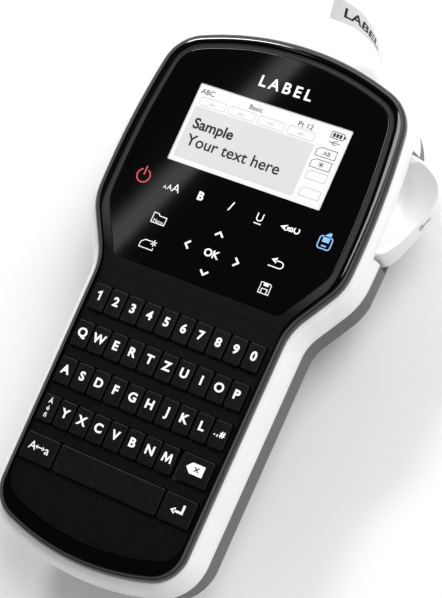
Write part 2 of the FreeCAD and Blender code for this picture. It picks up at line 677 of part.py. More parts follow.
def lever_plan(z):
    """Outline of the lever seen from the front, as a face at height z."""
    through = [(49.0, 75.2), (53.6, 74.2), (58.6, 72.3), (62.6, 69.0), (64.2, 65.0), (62.4, 56.6),
               (58.6, 46.0), (53.4, 37.4), (49.0, 36.0)]
    outer = Part.BSplineCurve()
    outer.interpolate([V(x, y, z) for x, y in through])
    inner = Part.LineSegment(V(49.0, 36.0, z), V(49.0, 75.2, z))
    return Part.Face(Part.Wire([outer.toShape(), inner.toShape()]))


def on_sphere(edge, centre, radius):
    return all(abs(point.distanceToPoint(centre) - radius) < 0.02 for point in edge.discretize(7))


def make_cutter_lever():
    """Thumb paddle with a scooped front, its pivot barrel, and the arm and leg that drive the blade."""
    z0, z1 = LEVER_Z
    px, py = LEVER_PIVOT
    paddle = lever_plan(z0).extrude(V(0, 0, z1 - z0))
    paddle = paddle.makeFillet(1.2, [e for e in edges_at(paddle, z1) if e.BoundBox.XMax > 50])
    dish_centre = V(62.0, 55.0, LEVER_DISH_Z + LEVER_DISH_R)
    paddle = paddle.cut(Part.makeSphere(LEVER_DISH_R, dish_centre))
    rim = [e for e in paddle.Edges if e.BoundBox.XMax > 52 and on_sphere(e, dish_centre, LEVER_DISH_R)]
    paddle = paddle.makeFillet(0.8, rim)
    hollow = plan_prism([(52.0, 71.4), (57.4, 69.8), (61.0, 66.6), (61.2, 64.0), (59.6, 57.0),
                         (56.0, 47.5), (52.8, 42.0), (52.0, 42.0)], z0 - 1, z0 + 7)
    paddle = paddle.cut(hollow)
    barrel = rod(px, py, 3.2, z0 + 0.6, z1 - 5)
    web = box(px, 51.5, py - 1.5, py + 1.5, z0 + 0.6, z1 - 5)
    arm = plan_prism([(46.0, 64.0), (51.0, 66.0), (51.0, 71.0), (46.2, 75.8), (43.4, 80.0),
                      (37.8, 86.0), (35.0, 86.0), (35.0, 83.0), (41.2, 77.6), (44.6, 71.4)],
                     28.8, 32.0)
    leg = box(LEG_X, LEG_X + 2.2, BLADE_Y - 1.3, BLADE_Y + 0.9, 10.0, 31.0)
    lever = join(paddle, barrel, web, arm, leg)
    return lever.cut(rod(px, py, 1.3, 20, 50))


# ---------------------------------------------------------------- cassette and label

CASSETTE = (-37.0, 36.0, 37.6, 82.6)
CASSETTE_Z = (2.9, 21.6)
ROLLS = [(-17.0, 60.0, 17.0, 2.6), (15.0, 51.0, 9.5, 2.2)]


def make_tape_cassette():
    """Tape cassette: a hollow case notched for the print head, the tape roll and the ribbon roll."""
    x0, x1, y0, y1 = CASSETTE
    z0, z1 = CASSETTE_Z
    skin = 1.4
    notch = [box(11.5, 33.0, 66.0, 90, z0 - 1, z1 + 1), box(11.5, 50, 81.6, 90, z0 - 1, z1 + 1)]
    case = rounded_block(x0, x1, y0, y1, z0, z1, 3.0).cut(notch)
    inside = box(x0 + skin, x1 - skin, y0 + skin, y1 - skin, z0 + skin, z1 - skin)
    notch_walls = [box(11.5 - skin, 33.0 + skin, 66.0 - skin, 90, z0, z1),
                   box(11.5, 50, 81.6 - skin, 90, z0, z1)]
    inside = inside.cut(notch_walls)
    tape_exit = box(TAPE_X - 0.6, TAPE_X + 0.6, 60, 67, TAPE_Z - 6.4, TAPE_Z + 6.4)
    windows = [rod(x, y, 5.0, z0 - 1, z0 + skin + 1) for x, y, _, _ in ROLLS]
    case = case.cut([inside, tape_exit, *windows])
    rolls = []
    for x, y, radius, bore in ROLLS:
        hub = rod(x, y, 4.6, z0 + 0.4, z1 - skin - 0.4)
        roll = rod(x, y, radius, TAPE_Z - TAPE_WIDTH / 2, TAPE_Z + TAPE_WIDTH / 2)
        rolls.append(join(hub, roll).cut(rod(x, y, bore, z0, z1)))
    return Part.makeCompound([case, *rolls])


# Centre line and width direction of the free label, from the slit to its end.
LABEL_PATH = [
    ((23.6, 92.0, 12.2), (0.0, 0.0, -1.0)),
    ((23.5, 97.5, 12.2), (0.0, 0.0, -1.0)),
    ((22.3, 104.5, 12.6), (-0.10, 0.08, -0.99)),
    ((19.3, 112.2, 13.6), (-0.20, 0.14, -0.97)),
    ((13.3, 120.4, 15.4), (-0.26, 0.00, -0.965)),
    ((4.2, 126.0, 17.6), (-0.26, -0.22, -0.94)),
    ((-7.0, 127.6, 19.6), (-0.25, -0.42, -0.87)),
]


def make_label_tape():
    """Tape in the feed path, and the label past the blade, which curls as it leaves the slit."""
    feed = box(TAPE_X - TAPE_THICK / 2, TAPE_X + TAPE_THICK / 2, 62.0, BLADE_Y - BLADE_GAP / 2,
               TAPE_Z - TAPE_WIDTH / 2, TAPE_Z + TAPE_WIDTH / 2)
    path = [((TAPE_X, BLADE_Y + BLADE_GAP / 2, TAPE_Z), (0.0, 0.0, -1.0))] + LABEL_PATH
    wires = []
    for i, (centre, across) in enumerate(path):
        before, after = path[max(i - 1, 0)][0], path[min(i + 1, len(path) - 1)][0]
        run = (V(*after) - V(*before)).normalize()
        wide = V(*across)
        wide = (wide - run * wide.dot(run)).normalize()
        face = run.cross(wide)
        c, w, t = V(*centre), wide * (TAPE_WIDTH / 2), face * (TAPE_THICK / 2)
        corners = [c - w - t, c + w - t, c + w + t, c - w + t]
        wires.append(Part.makePolygon(corners + corners[:1]))
    label = Part.makeLoft(wires, True, False)
    return Part.makeCompound([feed, label])


def make_screws():
    screws = []
    for x, y, z in SCREWS:
        head = rod(x, y, 2.4, z + 0.6, z + 2.3)
        cross = [box(x - 1.6, x + 1.6, y - 0.3, y + 0.3, z, z + 1.4),
                 box(x - 0.3, x + 0.3, y - 1.6, y + 1.6, z, z + 1.4)]
        screws.append(join(head, rod(x, y, 1.2, z + 2.3, z + 17)).cut(cross))
    pivot = rod(*LEVER_PIVOT, 1.2, 23.4, 40.5)
    return Part.makeCompound(screws + [pivot])


# ---------------------------------------------------------------- export

def check(name, shape):
    for solid in shape.Solids:
        if not solid.isValid() or solid.Volume <= 0:
            raise ValueError(name + " has a bad solid")
    if not shape.Solids:
        raise ValueError(name + " has no solid")


def save(name, shape):
    check(name, shape)
    shape.translate(V(0, -ORIGIN_Y, 0))
    shape.exportStep(os.path.join("parts", name + ".step"))
    print(name, len(shape.Solids), round(shape.Volume, 1))


def main():
    os.makedirs("parts", exist_ok=True)
    save("front_bezel", make_front_bezel())
    save("keypad_plate", make_keypad_plate())
    save("display_lens", make_display_lens())
    save("keypad_mat", make_keypad_mat())
    save("circuit_board", make_circuit_board())
    save("side_shell", make_side_shell())
    save("rear_shell", make_rear_shell())
    save("cassette_door", make_cassette_door())
    save("battery_door", make_battery_door())
    save("battery_pack", make_battery_pack())
    save("print_mechanism", make_print_mechanism())
    save("platen_roller", make_platen_roller())
    save("drive_pinion", make_drive_pinion())
    save("cutter_lever", make_cutter_lever())
    save("cutter_blade", make_cutter_blade())
    save("tape_cassette", make_tape_cassette())
    save("label_tape", make_label_tape())
    save("screws", make_screws())
    for key in key_layout():
        save("key_" + key[0], make_key(key))


main()
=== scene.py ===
import json
import math

import bmesh
import bpy
from mathutils import Matrix, Vector


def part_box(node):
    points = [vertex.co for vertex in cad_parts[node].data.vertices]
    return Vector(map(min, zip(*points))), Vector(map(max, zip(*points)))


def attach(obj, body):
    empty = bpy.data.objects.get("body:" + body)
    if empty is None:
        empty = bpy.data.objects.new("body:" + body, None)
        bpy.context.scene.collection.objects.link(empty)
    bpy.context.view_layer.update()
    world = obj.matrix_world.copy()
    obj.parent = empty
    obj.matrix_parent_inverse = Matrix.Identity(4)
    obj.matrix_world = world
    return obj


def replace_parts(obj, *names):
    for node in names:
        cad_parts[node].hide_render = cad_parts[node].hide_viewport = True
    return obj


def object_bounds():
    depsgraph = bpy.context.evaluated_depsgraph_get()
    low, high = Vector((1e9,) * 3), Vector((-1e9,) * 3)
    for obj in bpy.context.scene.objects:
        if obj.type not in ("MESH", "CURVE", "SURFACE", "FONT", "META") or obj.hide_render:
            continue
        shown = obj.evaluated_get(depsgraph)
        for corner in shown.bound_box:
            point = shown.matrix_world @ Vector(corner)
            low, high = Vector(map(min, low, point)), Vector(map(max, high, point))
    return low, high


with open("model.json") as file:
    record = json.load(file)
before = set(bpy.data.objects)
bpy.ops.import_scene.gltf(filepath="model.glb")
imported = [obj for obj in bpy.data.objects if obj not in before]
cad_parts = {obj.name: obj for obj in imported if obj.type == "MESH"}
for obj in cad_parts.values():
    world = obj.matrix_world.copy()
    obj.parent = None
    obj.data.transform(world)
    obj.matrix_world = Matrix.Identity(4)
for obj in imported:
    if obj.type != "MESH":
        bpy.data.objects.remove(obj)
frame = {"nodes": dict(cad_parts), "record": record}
cad_box = [list(corner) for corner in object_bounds()]
nodes = frame["nodes"]

MM = 0.001
ORIGIN_Y = 60.0             # from half way along the bezel to the row frame's origin
HOUSING = "housing"
SOAK_DEPTH = 0.6            # how far light soaks into a sheer material
WEAR_AND_HIGHLIGHT_REACH = 0.25          # how far the pale edges reach from an edge: wear on some finishes, painted highlight on others


def at(x, y, z):
    """A point given in millimetres, with y counted from half way along the bezel, in the row frame."""
    return Vector((x, y - ORIGIN_Y, z)) * MM


# ---------------------------------------------------------------- materials

def surface(name, colour, roughness, spread=0.06, grain=(3500, 0.02), mottle=(60, 0.06), metallic=0.0,
            coat=0.0, coat_roughness=0.04, specular=0.5, wear_and_edge_highlight=None, sheer=0.0, head=None):
    """Moulded, printed or plated surface: mottled colour, uneven gloss, fine grain and paler edges.
    grain is (features per metre, depth in millimetres), mottle is (patches per metre, share of the
    colour they change) and the pale-edge pair is (edge colour, share of it); the pale edge is wear on
    some finishes and a painted highlight, light caught along the edges, on others. sheer is how much
    light soaks through a thin sheet of it, and head is (the colour it takes towards the head end,
    y in millimetres where that starts, y where it is complete)."""
    material = bpy.data.materials.new(name)
    material.use_nodes = True
    tree = material.node_tree
    link = tree.links.new
    shader = tree.nodes["Principled BSDF"]
    shader.inputs["Metallic"].default_value = metallic
    shader.inputs["Coat Weight"].default_value = coat
    shader.inputs["Coat Roughness"].default_value = coat_roughness
    shader.inputs["Specular IOR Level"].default_value = specular
    shader.inputs["Subsurface Weight"].default_value = sheer
    shader.inputs["Subsurface Radius"].default_value = (1.0, 1.0, 1.0)
    shader.inputs["Subsurface Scale"].default_value = SOAK_DEPTH * MM
    place = tree.nodes.new("ShaderNodeTexCoord").outputs["Object"]

    def noise(scale, detail):
        node = tree.nodes.new("ShaderNodeTexNoise")
        node.inputs["Scale"].default_value = scale
        node.inputs["Detail"].default_value = detail
        link(place, node.inputs["Vector"])
        return node.outputs["Fac"]

    def remap(value, low, high):
        node = tree.nodes.new("ShaderNodeMapRange")
        node.inputs["From Min"].default_value = 0.3
        node.inputs["From Max"].default_value = 0.7
        node.inputs["To Min"].default_value = low
        node.inputs["To Max"].default_value = high
        link(value, node.inputs["Value"])
        return node.outputs["Result"]

    def mix(fac, a, b):
        node = tree.nodes.new("ShaderNodeMix")
        node.data_type = "RGBA"
        link(fac, node.inputs["Factor"])
        for socket, value in ((node.inputs["A"], a), (node.inputs["B"], b)):
            if isinstance(value, tuple):
                socket.default_value = (*value, 1.0)
            else:
                link(value, socket)
        return node.outputs["Result"]

    patch, amount = mottle
    dark = tuple(c * (1 - amount) for c in colour)
    light = tuple(min(1.0, c * (1 + amount)) for c in colour)
    paint = mix(remap(noise(patch, 3.0), 0.0, 1.0), dark, light)
    if head:
        head_colour, starts, complete = head
        split = tree.nodes.new("ShaderNodeSeparateXYZ")
        past = tree.nodes.new("ShaderNodeMapRange")
        past.inputs["From Min"].default_value = (starts - ORIGIN_Y) * MM
        past.inputs["From Max"].default_value = (complete - ORIGIN_Y) * MM
        link(place, split.inputs["Vector"])
        link(split.outputs["Y"], past.inputs["Value"])
        paint = mix(past.outputs["Result"], paint, head_colour)
    # Paler edges: wear on some finishes, a painted highlight along the edges on others.
    if wear_and_edge_highlight:
        edge_colour, share = wear_and_edge_highlight
        paint = mix(edge_mask(tree, WEAR_AND_HIGHLIGHT_REACH * MM, share), paint, edge_colour)
    link(paint, shader.inputs["Base Color"])
    low, high = max(0.02, roughness - spread), min(1.0, roughness + spread)
    link(remap(noise(patch * 7, 4.0), low, high), shader.inputs["Roughness"])
    fineness, depth = grain
    bump = tree.nodes.new("ShaderNodeBump")
    bump.inputs["Strength"].default_value = 1.0
    bump.inputs["Distance"].default_value = depth * MM
    link(noise(fineness, 2.0), bump.inputs["Height"])
    link(bump.outputs["Normal"], shader.inputs["Normal"])
    return material


def edge_mask(tree, radius, amount):
    """A value that is 0 on flats and up to amount on edges, where the rounded normal leaves the true one."""
    link = tree.links.new
    rounded = tree.nodes.new("ShaderNodeBevel")
    rounded.samples = 4
    rounded.inputs["Radius"].default_value = radius
    true = tree.nodes.new("ShaderNodeNewGeometry")
    dot = tree.nodes.new("ShaderNodeVectorMath")
    dot.operation = "DOT_PRODUCT"
    link(rounded.outputs["Normal"], dot.inputs[0])
    link(true.outputs["Normal"], dot.inputs[1])
    mask = tree.nodes.new("ShaderNodeMapRange")
    mask.inputs["From Min"].default_value = 0.98
    mask.inputs["From Max"].default_value = 0.80
    mask.inputs["To Max"].default_value = amount
    link(dot.outputs["Value"], mask.inputs["Value"])
    return mask.outputs["Result"]


BY_SLOT = {
    "bezel_gloss": surface("bezel_gloss", (0.0012, 0.0012, 0.0015), 0.06, 0.02, (900, 0.001), coat=0.1,
                           coat_roughness=0.05),
    # The plate's pale edges are a painted highlight: the thin bright line where light catches its edges.
    "plate_matt": surface("plate_matt", (0.0013, 0.0012, 0.0018), 0.50, 0.07, (5200, 0.02), (90, 0.10),
                          specular=0.10, wear_and_edge_highlight=((0.03, 0.03, 0.033), 0.6),
                          head=((0.030, 0.030, 0.032), 6.0, 20.0)),
    # The keys' pale edges are a painted highlight: light caught along the key edges, painted into their
    # colour.
    "key_matt": surface("key_matt", (0.0028, 0.0028, 0.0032), 0.42, 0.06, (4800, 0.03), (120, 0.12),
                        specular=0.15, wear_and_edge_highlight=((0.05, 0.05, 0.055), 0.7)),
    "lens_gloss": surface("lens_gloss", (0.0015, 0.0015, 0.0018), 0.05, 0.004, (500, 0.0002)),
    "silicone": surface("silicone", (0.16, 0.165, 0.18), 0.6),
    "board": surface("board", (0.012, 0.10, 0.045), 0.35, mottle=(400, 0.35),
                     head=((0.42, 0.42, 0.43), 88.3, 88.5)),
    "shell_pearl": surface("shell_pearl", (0.72, 0.712, 0.707), 0.34, 0.04, (2600, 0.002), (140, 0.02),
                           metallic=0.1, coat=0.3, coat_roughness=0.15),
    "shell_grey": surface("shell_grey", (0.085, 0.077, 0.073), 0.50, 0.04, (3200, 0.04), (110, 0.05),
                          wear_and_edge_highlight=((0.17, 0.16, 0.15), 0.5)),
    "battery_wrap": surface("battery_wrap", (0.02, 0.035, 0.09), 0.3, coat=0.6),
    "mechanism_steel": surface("mechanism_steel", (0.55, 0.55, 0.56), 0.32, 0.1, (2500, 0.01),
                               (300, 0.12), metallic=1.0),
    "roller_rubber": surface("roller_rubber", (0.025, 0.025, 0.025), 0.75, grain=(5000, 0.03)),
    "gear_nylon": surface("gear_nylon", (0.78, 0.76, 0.70), 0.42),
    "blade_steel": surface("blade_steel", (0.66, 0.67, 0.69), 0.2, 0.08, (2500, 0.005), metallic=1.0),
    "cassette_grey": surface("cassette_grey", (0.30, 0.30, 0.31), 0.5, grain=(3200, 0.04)),
    "label_white": surface("label_white", (0.92, 0.92, 0.90), 0.34, 0.08, (1500, 0.003), (220, 0.02),
                           coat=0.3, coat_roughness=0.15, sheer=0.8),
    "screw_steel": surface("screw_steel", (0.5, 0.5, 0.52), 0.3, 0.1, metallic=1.0),
}

INK_WHITE = surface("ink_white", (0.86, 0.86, 0.86), 0.42, mottle=(2500, 0.05))
INK_RED = surface("ink_red", (0.55, 0.06, 0.07), 0.4, mottle=(2500, 0.08))
INK_BLUE = surface("ink_blue", (0.22, 0.46, 0.78), 0.4, mottle=(2500, 0.05))
INK_BLACK = surface("ink_black", (0.008, 0.008, 0.009), 0.45, mottle=(2500, 0.2), specular=0.3)
INK_FAINT = surface("ink_faint", (0.47, 0.47, 0.48), 0.3, mottle=(2500, 0.05))
LCD_WHITE = surface("lcd_white", (0.72, 0.73, 0.74), 0.3, mottle=(4000, 0.02), coat=0.3)
LCD_GREY = surface("lcd_grey", (0.57, 0.575, 0.59), 0.3, mottle=(4000, 0.03), coat=0.3)

for part in frame["record"]["subparts"]:
    node = nodes[part["node"]]
    node.data.materials.clear()
    node.data.materials.append(BY_SLOT[part["material_slot"]])


# ---------------------------------------------------------------- mesh helpers

PRINT_THICK = 0.02
MITRE_LIMIT = 0.35          # the least cosine that a stroke's corner is mitred by


def piece(name, mesh, material, body=HOUSING, place=None):
    """Object made from a mesh in metres, placed and riding on a body."""
    obj = bpy.data.objects.new(name, mesh)
    bpy.context.scene.collection.objects.link(obj)
    if place:
        obj.matrix_world = place
    mesh.materials.clear()
    mesh.materials.append(material)
    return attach(obj, body)


def plate(loops, thick=PRINT_THICK):
    """Flat mesh in metres of polygons in XY, given in millimetres, that stand `thick` tall."""
    mesh = bpy.data.meshes.new("plate")
    bm = bmesh.new()
    for loop in loops:
        face = bm.faces.new([bm.verts.new((x * MM, y * MM, 0)) for x, y in loop])
        grown = bmesh.ops.extrude_face_region(bm, geom=[face])
        top = [v for v in grown["geom"] if isinstance(v, bmesh.types.BMVert)]
        bmesh.ops.translate(bm, verts=top, vec=(0, 0, thick * MM))
    bmesh.ops.recalc_face_normals(bm, faces=bm.faces)
    bm.to_mesh(mesh)
    bm.free()
    return mesh


def ribbon(points, width, closed=False):
    """Loops for a stroke of even width along a line of points, with mitred corners."""
    count = len(points)
    sides = ([], [])
    for i, (x, y) in enumerate(points):
        before = points[(i - 1) % count] if closed or i else points[i]
        after = points[(i + 1) % count] if closed or i < count - 1 else points[i]
        a = Vector((x - before[0], y - before[1]))
        b = Vector((after[0] - x, after[1] - y))
        a = a.normalized() if a.length else b.normalized()
        b = b.normalized() if b.length else a
        across = Vector((-(a.y + b.y), a.x + b.x)).normalized()
        reach = width / 2 / max(MITRE_LIMIT, across.dot(Vector((-a.y, a.x))))
        sides[0].append((x + across.x * reach, y + across.y * reach))
        sides[1].append((x - across.x * reach, y - across.y * reach))
    steps = range(count if closed else count - 1)
    return [[sides[0][i], sides[1][i], sides[1][(i + 1) % count], sides[0][(i + 1) % count]]
            for i in steps]


def arc(cx, cy, radius, start, end, steps=16):
    """Points along an arc, angles in degrees."""
    angles = [math.radians(start + (end - start) * i / steps) for i in range(steps + 1)]
    return [(cx + radius * math.cos(a), cy + radius * math.sin(a)) for a in angles]


def box_outline(x0, x1, y0, y1):
    """Outline of a rectangle."""
    return [(x0, y0), (x1, y0), (x1, y1), (x0, y1)]


def asterisk(x, y, radius, width):
    """Loops for a star of three crossed strokes."""
    loops = []
    for k in range(3):
        c, s = math.cos(math.radians(60 * k + 30)), math.sin(math.radians(60 * k + 30))
        loops += ribbon([(x - c * radius, y - s * radius), (x + c * radius, y + s * radius)], width)
    return loops


def rounded(x0, x1, y0, y1, radius):
    """Outline of a rectangle with round corners."""
    points = []
    for cx, cy, start in ((x1 - radius, y1 - radius, 0), (x0 + radius, y1 - radius, 90),
                          (x0 + radius, y0 + radius, 180), (x1 - radius, y0 + radius, 270)):
        points += arc(cx, cy, radius, start, start + 90, 4)
    return points


def evaluated_mesh(obj):
    """Mesh that a curve, or an object with modifiers, comes to."""
    bpy.context.view_layer.update()
    return bpy.data.meshes.new_from_object(obj.evaluated_get(bpy.context.evaluated_depsgraph_get()))


def lettering_mesh(text, bold=0.0, shear=0.0, spacing=1.0):
    """Raised lettering with its size set to 1 and its baseline on y = 0."""
    curve = bpy.data.curves.new("lettering", "FONT")
    curve.body = text
    curve.size = 1.0
    curve.offset = bold
    curve.shear = shear
    curve.space_character = spacing
    curve.extrude = 0.003
    curve.resolution_u = 5
    holder = bpy.data.objects.new("lettering", curve)
    bpy.context.scene.collection.objects.link(holder)
    mesh = evaluated_mesh(holder)
    bpy.data.objects.remove(holder)
    bpy.data.curves.remove(curve)
    return mesh


CAPITAL = max(v.co.y for v in lettering_mesh("H").vertices)


def lettering(text, height, bold=0.0, shear=0.0, spacing=1.0):
    """Lettering with capitals `height` millimetres tall, centred on the origin, in metres."""
    mesh = lettering_mesh(text, bold, shear, spacing)
    xs = [v.co.x for v in mesh.vertices]
    scale = height / CAPITAL * MM
    mesh.transform(Matrix.Translation((-(min(xs) + max(xs)) / 2, -CAPITAL / 2, 0)))
    mesh.transform(Matrix.Diagonal((scale, scale, scale, 1)))
    return mesh


def turned(x, y, z, degrees=0.0):
    """Placement at a point, turned about Z."""
    return Matrix.Translation(at(x, y, z)) @ Matrix.Rotation(math.radians(degrees), 4, "Z")


# ---------------------------------------------------------------- lens and display

LENS_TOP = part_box("display_lens")[1].z / MM
WINDOW = (-29.3, 30.3, 43.7, 74.1)      # left, right, lower and upper side of the clear window
PANEL_Z = LENS_TOP - 0.35
PANEL_THICK = 0.6


def cut_copy(node, name, cutter_mesh, material):
    """Copy of a CAD node with a mesh cut out of it, standing for the node."""
    source = nodes[node]
    copy = bpy.data.objects.new(name, source.data.copy())
    cutter = bpy.data.objects.new(name + "_cutter", cutter_mesh)
    for obj in (copy, cutter):
        bpy.context.scene.collection.objects.link(obj)
    cut = copy.modifiers.new("window", "BOOLEAN")
    cut.object = cutter
    cut.solver = "EXACT"
    mesh = evaluated_mesh(copy)
    for obj in (copy, cutter):
        bpy.data.objects.remove(obj)
    made = piece(name, mesh, material)
    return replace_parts(made, node)


cutter_depth = 6
window = plate([rounded(*WINDOW, 0.5)], cutter_depth)
window.transform(Matrix.Translation(at(0, 0, LENS_TOP - cutter_depth / 2)))
lens = cut_copy("display_lens", "lens_glass", window, BY_SLOT["lens_gloss"])


def show(name, mesh, material, lift, x=0.0, y=0.0):
    """Piece on the display, lifted above its panel."""
    piece(name, mesh, material, place=turned(x, y, PANEL_Z + lift))


panel = plate([box_outline(*WINDOW)], PANEL_THICK)
show("lcd_panel", panel, LCD_WHITE, -PANEL_THICK)
show("lcd_text_area", plate([rounded(-27.8, 19.0, 45.6, 65.4, 0.8)]), LCD_GREY, 0.01)

# Words, capital height, boldness, left end and middle of the line.
DISPLAY_TEXT = [
    ("Sample", 3.8, 0.025, -25.6, 59.3),
    ("Your text here", 4.1, 0.012, -25.6, 52.9),
    ("ABC", 1.9, 0.0, -28.0, 71.3),
    ("Basic", 1.8, 0.0, -8.6, 71.2),
    ("Pt 12", 1.9, 0.0, 10.6, 70.9),
]
for i, (text, height, bold, left, y) in enumerate(DISPLAY_TEXT):
    mesh = lettering(text, height, bold)
    half = max(v.co.x for v in mesh.vertices) / MM
    show(f"lcd_line_{i}", mesh, INK_BLACK, 0.04, left + half, y)

TAB_LEFT = (-27.0, -15.4, -3.8, 7.8)
tabs = []
for x in TAB_LEFT:
    tabs += ribbon(rounded(x, x + 10.2, 66.1, 69.3, 0.9), 0.18, True)
show("lcd_tabs", plate(tabs), INK_FAINT, 0.02)


def label_outline(x, y):
    """Outline of a label with a cropped corner, as drawn in the display's side column."""
    points = [(x, y), (x + 7.4, y), (x + 7.4, y + 3.2), (x + 1.4, y + 3.2), (x, y + 2.2)]
    return ribbon(points, 0.2, True)


show("lcd_label_icons", plate(label_outline(20.6, 62.0) + label_outline(20.4, 57.6)), INK_BLACK, 0.02)
show("lcd_label_icons_faint", plate(label_outline(20.6, 53.2) + label_outline(20.9, 46.8)), INK_FAINT, 0.02)
for i, x in enumerate(TAB_LEFT):
    show(f"lcd_tab_word_{i}", lettering("abc", 1.2), INK_FAINT, 0.03, x + 5.1, 67.6)
show("lcd_label_word", lettering("AB", 1.5), INK_BLACK, 0.03, 24.6, 63.5)
show("lcd_star", plate(asterisk(24.2, 59.2, 1.1, 0.22)), INK_BLACK, 0.02)
battery = ribbon(rounded(23.2, 28.0, 69.6, 72.0, 0.5), 0.25, True)
battery += [box_outline(x, x + 0.9, 70.1, 71.5) for x in (23.9, 25.1, 26.3)]
battery += [box_outline(28.1, 28.6, 70.3, 71.3)]
plug = ribbon([(23.4, 68.0), (27.6, 68.0)], 0.2) + ribbon([(24.4, 68.0), (25.2, 67.3), (26.4, 67.3)], 0.2)
plug += ribbon([(24.8, 68.0), (25.6, 68.7), (26.6, 68.7)], 0.2)
show("lcd_battery", plate(battery + plug), INK_BLACK, 0.02)


# ---------------------------------------------------------------- print on the lens

PRINT_Z = LENS_TOP + 0.01


def print_on_lens(name, loops, x, y, ink=INK_WHITE):
    piece(name, plate(loops), ink, place=turned(x, y, PRINT_Z))


def write_on_lens(name, text, x, y, height, bold=0.0, shear=0.0, degrees=0.0, spacing=1.0):
    mesh = lettering(text, height, bold, shear, spacing)
    piece(name, mesh, INK_WHITE, place=turned(x, y, PRINT_Z, degrees))


write_on_lens("title", "LABEL", 1.2, 81.4, 4.0, 0.02, spacing=1.4)
write_on_lens("size_small", "A", -25.4, 33.7, 1.3)
write_on_lens("size_middle", "A", -23.6, 34.1, 2.0)
write_on_lens("size_large", "A", -21.1, 34.5, 3.0)
write_on_lens("bold_mark", "B", -11.4, 34.8, 2.9, 0.035)
write_on_lens("italic_mark", "I", 0.5, 35.0, 3.4, shear=0.35)
write_on_lens("underline_mark", "U", 11.8, 34.7, 2.9)
print_on_lens("underline", ribbon([(-1.4, 0), (1.4, 0)], 0.4), 11.7, 32.3)
for i, letter in enumerate("ABC"):
    write_on_lens("vertical_" + letter, letter, 21.1 + 2.4 * i, 34.3, 2.1, 0.03, degrees=90)
write_on_lens("ok", "OK", 1.1, 17.0, 2.6, 0.03)

CHEVRON = [(-1.5, -0.75), (0, 0.75), (1.5, -0.75)]
for name, x, y, degrees in (("up", 0.8, 24.3, 0), ("down", 1.2, 9.8, 180),
                            ("left", -8.6, 17.2, 90), ("right", 10.5, 17.1, 270)):
    turn = Matrix.Rotation(math.radians(degrees), 2)
    points = [tuple(turn @ Vector(p)) for p in CHEVRON]
    print_on_lens("arrow_" + name, ribbon(points, 0.7), x, y)

power = ribbon(arc(0, 0, 2.5, 115, 425, 32), 0.5) + ribbon([(0, 0.3), (0, 3.7)], 0.5)
print_on_lens("power_mark", power, -34.7, 35.0, INK_RED)
folder = ribbon([(-2.6, 1.9), (-2.6, -1.7), (2.6, -1.7), (2.6, 1.2), (-0.2, 1.2), (-0.8, 1.9)], 0.3, True)
print_on_lens("menu_folder", folder, -22.2, 22.0)
write_on_lens("menu_word", "Menu", -22.2, 21.2, 1.2)
tag = ribbon([(1.2, 1.5), (-1.4, 1.5), (-2.9, 0.3), (-2.9, -1.5), (2.4, -1.5), (2.4, -0.7)], 0.3)
tag += asterisk(2.0, 1.1, 1.2, 0.34)
print_on_lens("insert_mark", tag, -22.2, 12.2)
back = ribbon([(-2.8, -1.2), (1.2, -1.2)] + arc(1.2, 0, 1.2, -90, 90, 8) + [(-1.0, 1.2)], 0.38)
back += [[(-2.4, 1.2), (-0.4, 0.1), (-0.4, 2.3)]]
print_on_lens("back_mark", back, 24.1, 21.3)
disk = ribbon([(-1.9, -1.9), (1.9, -1.9), (1.9, 1.4), (1.4, 1.9), (-1.9, 1.9)], 0.28, True)
disk += ribbon([(-1.0, -1.8), (-1.0, -0.2), (1.0, -0.2), (1.0, -1.8)], 0.3)
disk += [box_outline(-0.9, 0.9, 0.8, 1.8)]
print_on_lens("save_mark", disk, 23.7, 12.1)
printer = ribbon(rounded(-2.3, 2.3, -2.8, 1.6, 0.9), 0.42, True)
printer += [[(-1.2, -0.4), (1.3, -0.4), (1.3, 3.2), (0.5, 3.2), (-1.2, 1.6)]]
printer += [box_outline(-0.9, 0.9, -2.0, -1.5)]
print_on_lens("print_mark", printer, 36.7, 34.4, INK_BLUE)


# ---------------------------------------------------------------- key legends

LEGEND_HEIGHT = 3.0
LEGEND_BOLD = 0.035
# Right half of the letter M, from the bottom of its notch, for capitals of that height and boldness.
HALF_M = [(0.0, -0.40), (0.85, 1.62), (1.48, 1.62), (1.85, -1.62), (1.18, -1.62), (1.0, 0.45), (0.17, -1.5)]


def key_top(node):
    """Middle of a key's top, as (x, y, z) in millimetres with y counted from half way along the bezel."""
    low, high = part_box(node)
    return (low.x + high.x) / 2 / MM, (low.y + high.y) / 2 / MM + ORIGIN_Y, high.z / MM


def legend(node, name, mesh, dx=0.0, dy=0.5, ink=INK_WHITE):
    """Raised print on a key, off its middle by dx and dy."""
    x, y, z = key_top(node)
    piece("legend_" + name, mesh, ink, node, turned(x + dx, y + dy, z))


legend("key_1", "1", plate(ribbon([(-0.95, 0.85), (0.2, 1.55), (0.2, -1.6)], 0.62)))
for character in "234567890qwertzuiopasdfghjklyxcvbn":
    legend("key_" + character, character, lettering(character.upper(), LEGEND_HEIGHT, LEGEND_BOLD))
legend("key_m", "m", plate([HALF_M + [(-x, y) for x, y in HALF_M[:0:-1]]]))
legend("key_symbol", "symbol", lettering(".,#", 2.0, 0.03, spacing=1.3))
legend("key_accent", "accent_a", lettering("Ä", 1.7, 0.01), dy=2.6)
legend("key_accent", "accent_e", lettering("é", 1.7, 0.01), dy=0.1)
legend("key_accent", "accent_n", lettering("ñ", 1.7, 0.01), dy=-2.4)
legend("key_caps", "caps_large", lettering("A", 2.8, 0.005), dx=-2.8)
legend("key_caps", "caps_small", lettering("a", 2.8, 0.005), dx=3.0)
both_ways = ribbon([(-1.3, 0), (1.3, 0)], 0.35)
both_ways += [[(-1.9, 0), (-0.9, -0.75), (-0.9, 0.75)], [(1.9, 0), (0.9, 0.75), (0.9, -0.75)]]
legend("key_caps", "caps_arrow", plate(both_ways), dx=0.1)
